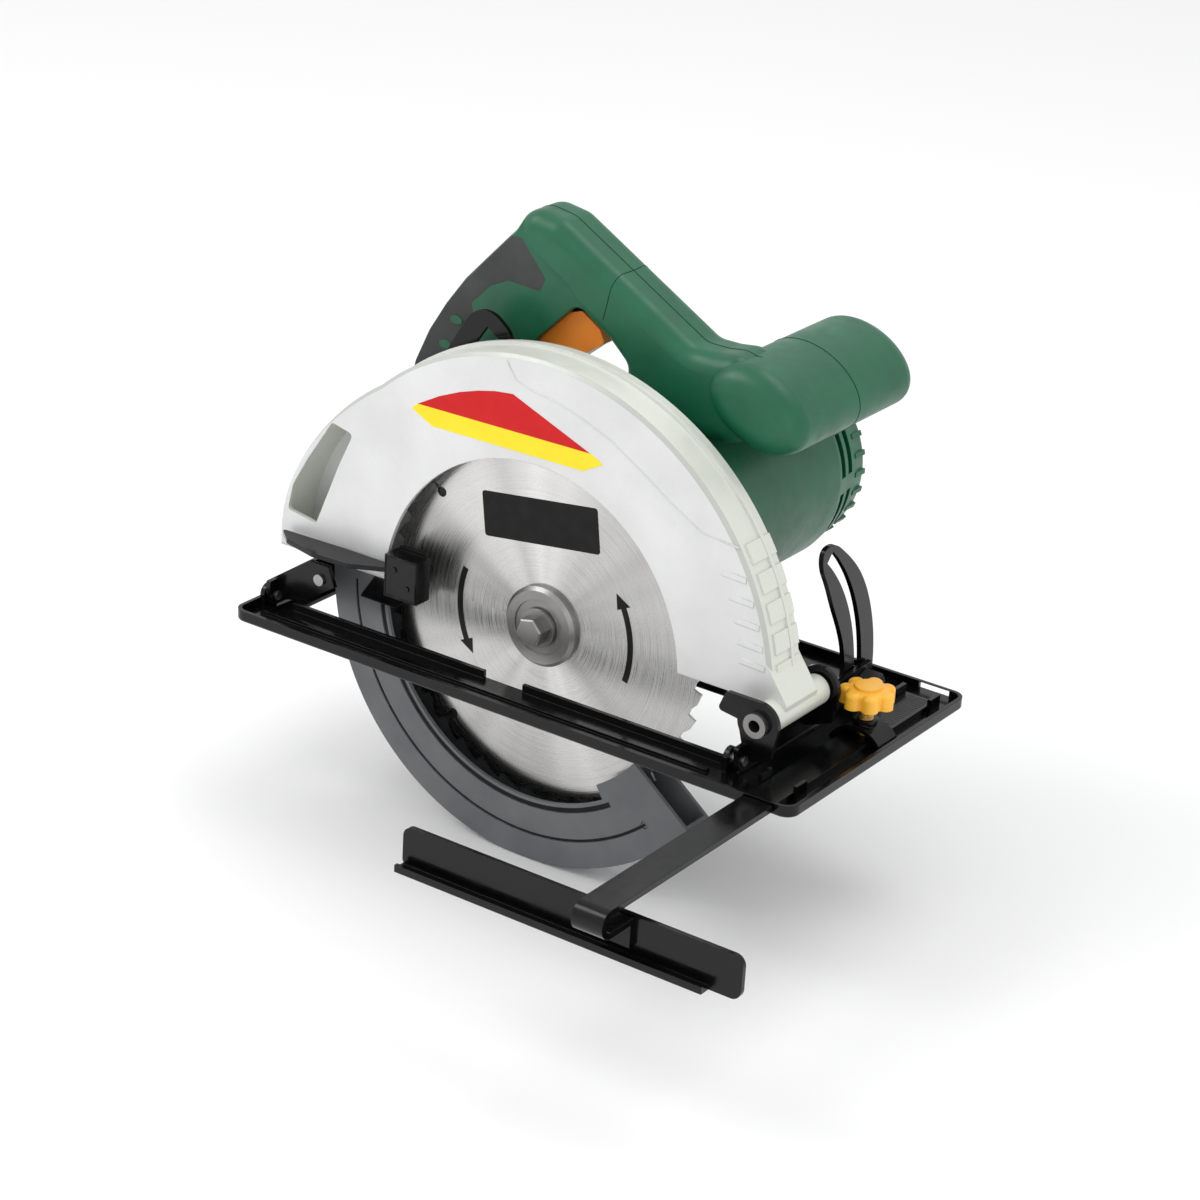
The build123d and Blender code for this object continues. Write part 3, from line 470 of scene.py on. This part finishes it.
def surface_tree(*names):
    """A search tree over CAD nodes, for laying fine lines on them."""
    verts, faces = [], []
    for name in names:
        mesh = nodes[name].data
        first = len(verts)
        verts += [v.co.copy() for v in mesh.vertices]
        faces += [[first + i for i in p.vertices] for p in mesh.polygons]
    return BVHTree.FromPolygons(verts, faces)


def hits(tree, shots):
    """Where rays, each a start and a direction, meet the surface."""
    found = [tree.ray_cast(start, Vector(direction))[0] for start, direction in shots]
    return [point for point in found if point]


def line_on(name, points, body, slot, width, finish=None, closed=False):
    """A fine round bead through points; half of it shows where they lie on a surface."""
    curve = bpy.data.curves.new(name, "CURVE")
    curve.dimensions = "3D"
    curve.bevel_depth = width / 2 * MM
    curve.bevel_resolution = 2
    spline = curve.splines.new("POLY")
    spline.points.add(len(points) - 1)
    for target, point in zip(spline.points, points):
        target.co = (*point, 1.0)
    spline.use_cyclic_u = closed
    curve.materials.append(finishes[finish or slot])
    item = bpy.data.objects.new(name, curve)
    bpy.context.scene.collection.objects.link(item)
    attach(item, body)


def seam(name, points, width, closed=False):
    line_on(name, points, "motor_unit", "green_plastic", width, "seam", closed)


def handle_seams():
    """Parting lines of the two handle halves and of the front handle."""
    tree = surface_tree("handle_left", "handle_right", "grip_cover", "front_handle_cap")
    far = FAR_AWAY * MM

    def down(i):
        return row(-46 + 130 * i / 69, GRIP_Y, 230), (0, 0, -1)

    def over_spine(i):
        swing = math.radians(-100 + 160 * i / 24)
        out = Vector((0.0, math.sin(swing), math.cos(swing)))
        return row(6.0 + 4 * math.cos(swing), GRIP_Y, 152.0) + out * far, -out

    def round_front(i):
        swing = math.radians(5 * i)
        out = Vector((math.cos(swing), 0.0, math.sin(swing)))
        return row(FRONT_HANDLE_X, 77.9, FRONT_HANDLE_Z) + out * far, -out

    seam("spine_seam", hits(tree, [down(i) for i in range(70)]), 0.45)
    seam("spine_cross_seam", hits(tree, [over_spine(i) for i in range(25)]), 0.45)
    seam("front_handle_seam", hits(tree, [round_front(i) for i in range(72)]), 0.5, True)


def guard_lines():
    """Raised panel line and lugs on the near face of the casting."""
    path = [(-18.3, 134.0), (-15.5, 129.5), (-12.9, 125.8), (-6, 123.6), (11.2, 121.0),
            (26, 116.5), (41.6, 110.6), (62.0, 98.7), (79, 88), (95.1, 79.7), (115.6, 77.6)]
    points = [row(x, GUARD_NEAR - 0.02, z) for x, z in path]
    line_on("guard_panel_line", points, "motor_unit", "guard_paint", 0.9)
    lug_end_r = GUARD_R - 3
    for i, z in enumerate((62, 51.5, 41, 31, 22)):
        end = math.sqrt(lug_end_r ** 2 - z ** 2)
        bar = [(end - 14, z), (end, z - 0.6), (end, z + 2.4), (end - 12.5, z + 3)]
        mesh = sheet_mesh("lug", bar, GUARD_NEAR - 0.4, 0.5)
        lug = piece(f"guard_lug_{i}", mesh, "motor_unit", "guard_paint")
        soften = lug.modifiers.new("soften", "BEVEL")
        soften.width = 0.35 * MM
        soften.segments = 2


def arm_marks():
    """Marks pressed across the top of the fence arm, low enough to pass the clamp stud."""
    first = 56
    spacing = 2.1
    half = 6
    sunk = 0.2
    for i in range(17):
        y = first + spacing * i
        points = [row(x, y, ARM_TOP - sunk) for x in (ARM_X - half, ARM_X + half)]
        line_on(f"arm_mark_{i}", points, "fence", "black_steel", 0.7)


def lever_details():
    """Rivets and folded edges on the lower guard's lever."""
    for i, (x, z) in enumerate(((-76, 13), (-68, 5))):
        ring = arc(1.5, 0, 360, 20)[:-1]
        mesh = sheet_mesh("rivet", [(x + u, z + v) for u, v in ring], LEVER_FACE - 0.6, 0.7)
        piece(f"lever_rivet_{i}", mesh, "swing_guard", "black_steel")
    rear, front, low, high = -81.4, -62.6, -1.4, 19.4
    corners = [(rear, low), (front, low), (front, high), (rear, high)]
    points = [row(x, LEVER_FACE, z) for x, z in corners]
    line_on("lever_fold", points, "swing_guard", "black_steel", 1.1, closed=True)


def grip_dots():
    """Small green pads that show through the soft grip."""
    tree = surface_tree("grip_cover", "handle_left")
    for i, (x, z) in enumerate(((-82.8, 127.0), (-89.0, 113.0))):
        face = hits(tree, [(row(x, 0, z), (0, 1, 0))])[0].y / MM + FOOT_MIDDLE
        ring = [(x + 3.6 * u, z + 2.2 * v) for u, v in arc(1, 0, 360, 24)[:-1]]
        mesh = sheet_mesh("pad", ring, face - 0.35, 0.6)
        piece(f"grip_pad_{i}", mesh, "motor_unit", "green_plastic")


def crosshead(name, x, y, z):
    """Painted shade of a cross recess: a dark cross on a screw that faces the far side."""
    long = 1.9
    short = 0.45
    for k, (wide, tall) in enumerate(((long, short), (short, long))):
        corners = [(x - wide, z - tall), (x + wide, z - tall), (x + wide, z + tall),
                   (x - wide, z + tall)]
        flat_print_and_shade(f"{name}_{k}", corners, y - 0.05, 0.1, "print_and_shade_black", "motor_unit", "bare_steel")


def screw_recess_shades():
    """Painted shade of the recesses in the handle's screws and in the end cap's."""
    wide = GRIP_Y + GRIP_HALF + 1.2
    narrow = wide - STEP_IN
    for i, (x, z, y) in enumerate(((-30, 178, wide), (26, 146, wide), (60, 120, wide),
                                   (-96, 96, narrow), (-60, 72, narrow))):
        crosshead(f"handle_recess_{i}", x, y, z)
    for i in range(4):
        turn = math.radians(-45 - 90 * i)
        crosshead(f"cap_recess_{i}", MOTOR_X + CAP_SCREW_R * math.cos(turn), CAP_FAR + 1.6,
                  MOTOR_Z + CAP_SCREW_R * math.sin(turn))


def cap_rings():
    """Raised rings moulded into the motor's end cap."""
    for i, radius in enumerate((16.0, 28.0)):
        ring = arc(radius, 0, 360, 96)[:-1]
        points = [row(MOTOR_X + x, CAP_FAR + 0.05, MOTOR_Z + z) for x, z in ring]
        line_on(f"cap_ring_{i}", points, "motor_unit", "green_plastic", 1.4, closed=True)


guard_labels()
blade_labels()
groove_shades()
threaded_stud()
handle_seams()
guard_lines()
arm_marks()
lever_details()
grip_dots()
screw_recess_shades()
cap_rings()

# --- stage, light and camera ------------------------------------------------------------
def lay_floor():
    mesh = bpy.data.meshes.new("floor")
    corners = [(-1, -1), (1, -1), (1, 1), (-1, 1)]
    mesh.from_pydata([row(x * FLOOR_HALF, y * FLOOR_HALF, FLOOR_Z) for x, y in corners], [],
                     [(0, 1, 2, 3)])
    floor = bpy.data.objects.new("floor", mesh)
    bpy.context.scene.collection.objects.link(floor)
    paint = Finish("floor_paint", Roughness=0.9, Specular_IOR_Level=0.1)
    paint.colour(
        paint.mix(paint.noise(900, 2), (0.93, 0.93, 0.935, 1), (0.95, 0.95, 0.955, 1))
    )
    mesh.materials.append(paint.material)


def light_studio(strength):
    world = bpy.data.worlds.new("studio")
    bpy.context.scene.world = world
    world.use_nodes = True
    background = world.node_tree.nodes["Background"].inputs
    background["Color"].default_value = (1, 1, 1, 1)
    background["Strength"].default_value = strength


def softbox(name, at, look, size, power):
    """A rectangular lamp of power watts, size metres, turned to look at a point."""
    data = bpy.data.lights.new(name, "AREA")
    data.shape = "RECTANGLE"
    data.size, data.size_y = size
    data.energy = power
    lamp = bpy.data.objects.new(name, data)
    bpy.context.scene.collection.objects.link(lamp)
    lamp.location = Vector(at)
    lamp.rotation_euler = (Vector(look) - Vector(at)).to_track_quat("-Z", "Y").to_euler()


lay_floor()
light_studio(0.88)
middle = (0.02, -0.05, 0.04)
softbox("key", (-1.1, -0.9, 1.5), middle, (0.9, 0.9), 11)
softbox("top", (0.3, 0.5, 1.7), middle, (1.2, 0.6), 6)
softbox("front", (1.2, -1.5, 0.5), middle, (0.8, 1.2), 2)


def set_camera(at, azimuth, elevation, roll, lens):
    """A camera at a point in metres, looking from azimuth and elevation degrees."""
    round_z, over_floor = math.radians(azimuth), math.radians(elevation)
    level = math.cos(over_floor)
    back = Vector((level * math.cos(round_z), level * math.sin(round_z), math.sin(over_floor)))
    turned = back.to_track_quat("Z", "Y") @ Quaternion((0, 0, 1), math.radians(roll))
    data = bpy.data.cameras.new("camera")
    data.sensor_width = 36.0
    data.lens = lens
    camera = bpy.data.objects.new("camera", data)
    bpy.context.scene.collection.objects.link(camera)
    camera.matrix_world = Matrix.Translation(at) @ turned.to_matrix().to_4x4()
    bpy.context.scene.camera = camera


set_camera((0.83862, -1.26916, 0.68493), azimuth=-56.0575, elevation=23.769, roll=3.3456,
           lens=99.95)
bpy.context.scene.view_settings.view_transform = "Standard"
